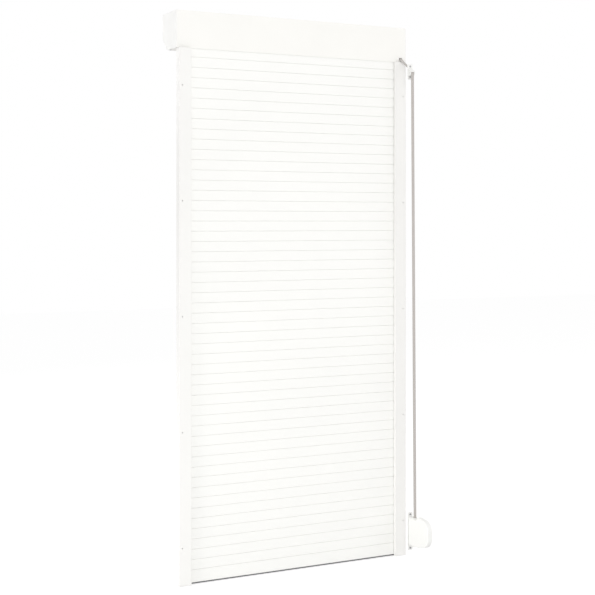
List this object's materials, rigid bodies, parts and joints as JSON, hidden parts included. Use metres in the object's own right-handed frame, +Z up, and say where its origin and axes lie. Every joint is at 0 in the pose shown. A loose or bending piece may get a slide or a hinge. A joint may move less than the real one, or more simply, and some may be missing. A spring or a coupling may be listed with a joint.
{
  "type": "exterior roller shutter",
  "caption": "Closed exterior roller shutter with a box above, side guides, a curtain of slats that rolls on a tube, and a strap that winds into a swivelling coiler.",
  "frame": {"origin": "midway between the two guides, at their feet, in the plane of the guides' window-side faces", "axes": "+X along the width, to the right as seen from the window; +Y away from the window, to the outside; +Z up"},
  "size_m": [1.07, 0.385, 2.29],
  "materials": {
    "box_sheet": "satin",
    "cap_paint": "satin",
    "guide_paint": "satin",
    "slat_paint": "satin",
    "tube_steel": "satin",
    "bearing_steel": "satin",
    "white_plastic": "satin",
    "roller_plastic": "satin",
    "trim_plastic": "satin",
    "gasket_rubber": "matte",
    "seal_rubber": "matte",
    "strap_fabric": "matte",
    "screw_steel": "satin",
    "spring_steel": "polished"
  },
  "bodies": {
    "housing": {"box_rear_shell": "box_sheet", "box_front_cover": "box_sheet", "end_cap_right": "cap_paint", "end_cap_left": "cap_paint", "box_cover_screws": "screw_steel", "tube_bearing_left": "bearing_steel", "tube_bearing_right": "bearing_steel", "guide_right": "guide_paint", "guide_left": "guide_paint", "guide_seals_left": "seal_rubber", "guide_seals_right": "seal_rubber", "guide_foot_plugs": "white_plastic", "guide_funnels": "white_plastic", "strap_outlet": "white_plastic", "outlet_roller_pin": "screw_steel", "strap_run": "strap_fabric", "strap_guide_plate": "trim_plastic", "strap_guide_hood": "trim_plastic", "strap_guide_pin": "screw_steel", "strap_guide_screws": "screw_steel", "coiler_base": "trim_plastic", "coiler_screws": "screw_steel", "coiler_bush": "trim_plastic", "coiler_foot_pin": "screw_steel"},
    "curtain": {"curtain_slats_01": "slat_paint", "curtain_slats_02": "slat_paint", "curtain_slats_03": "slat_paint", "curtain_slats_04": "slat_paint", "curtain_slats_05": "slat_paint", "curtain_slats_06": "slat_paint", "curtain_slats_07": "slat_paint", "curtain_slats_08": "slat_paint", "curtain_slats_09": "slat_paint", "curtain_slats_10": "slat_paint", "curtain_top_slats": "slat_paint", "slat_end_clips": "white_plastic", "final_slat": "slat_paint", "final_slat_gasket": "gasket_rubber", "final_slat_plugs": "white_plastic", "final_slat_stops": "white_plastic", "stop_screws": "screw_steel"},
    "tube": {"roller_tube": "tube_steel", "tube_end_plug": "white_plastic", "tube_end_pin": "tube_steel", "strap_pulley": "white_plastic", "pulley_pin": "tube_steel", "strap_on_pulley": "strap_fabric", "suspension_strips": "spring_steel", "strip_rivets": "screw_steel"},
    "outlet_roller": {"outlet_roller": "roller_plastic"},
    "guide_roller": {"strap_guide_roller": "roller_plastic"},
    "coiler_case": {"coiler_case_left": "trim_plastic", "coiler_case_right": "trim_plastic", "coiler_case_screws": "screw_steel", "coiler_axle": "screw_steel", "coiler_spring": "spring_steel", "strap_in_coiler": "strap_fabric"},
    "coiler_drum": {"coiler_drum": "white_plastic", "strap_on_drum": "strap_fabric"}
  },
  "joints": [
    {"name": "curtain_lift", "type": "slide", "parent": "housing", "child": "curtain", "axis": [0, 0, 1], "range_m": [0, 2.0945], "deforming": ["curtain_slats_01", "curtain_slats_02", "curtain_slats_03", "curtain_slats_04", "curtain_slats_05", "curtain_slats_06", "curtain_slats_07", "curtain_slats_08", "curtain_slats_09", "curtain_slats_10", "curtain_top_slats", "slat_end_clips"]},
    {"name": "tube_turn", "type": "hinge", "parent": "housing", "child": "tube", "pos_m": [0, 0.08622, 2.21678], "axis": [-1, 0, 0], "range_deg": [0, 2600], "deforming": ["suspension_strips"]},
    {"name": "outlet_roller_turn", "type": "hinge", "parent": "housing", "child": "outlet_roller", "pos_m": [0.5086, 0.019, 2.15423], "axis": [1, 0, 0], "range_deg": [0, 38600]},
    {"name": "guide_roller_turn", "type": "hinge", "parent": "housing", "child": "guide_roller", "pos_m": [0.5086, -0.07565, 2.0843], "axis": [1, 0, 0], "range_deg": [0, 20000]},
    {"name": "coiler_swing", "type": "hinge", "parent": "housing", "child": "coiler_case", "pos_m": [0.5086, -0.104, 0.1215], "axis": [0, 0, 1], "range_deg": [-90, 90]},
    {"name": "coiler_drum_turn", "type": "hinge", "parent": "coiler_case", "child": "coiler_drum", "pos_m": [0.5086, -0.162, 0.129], "axis": [-1, 0, 0], "range_deg": [0, 4560]}
  ],
  "couplings": [
    {"joint": "tube_turn", "follows": "curtain_lift", "rad_per_m": 21.63},
    {"joint": "outlet_roller_turn", "follows": "curtain_lift", "rad_per_m": 321},
    {"joint": "guide_roller_turn", "follows": "curtain_lift", "rad_per_m": 166},
    {"joint": "coiler_drum_turn", "follows": "curtain_lift", "rad_per_m": 37.7}
  ]
}
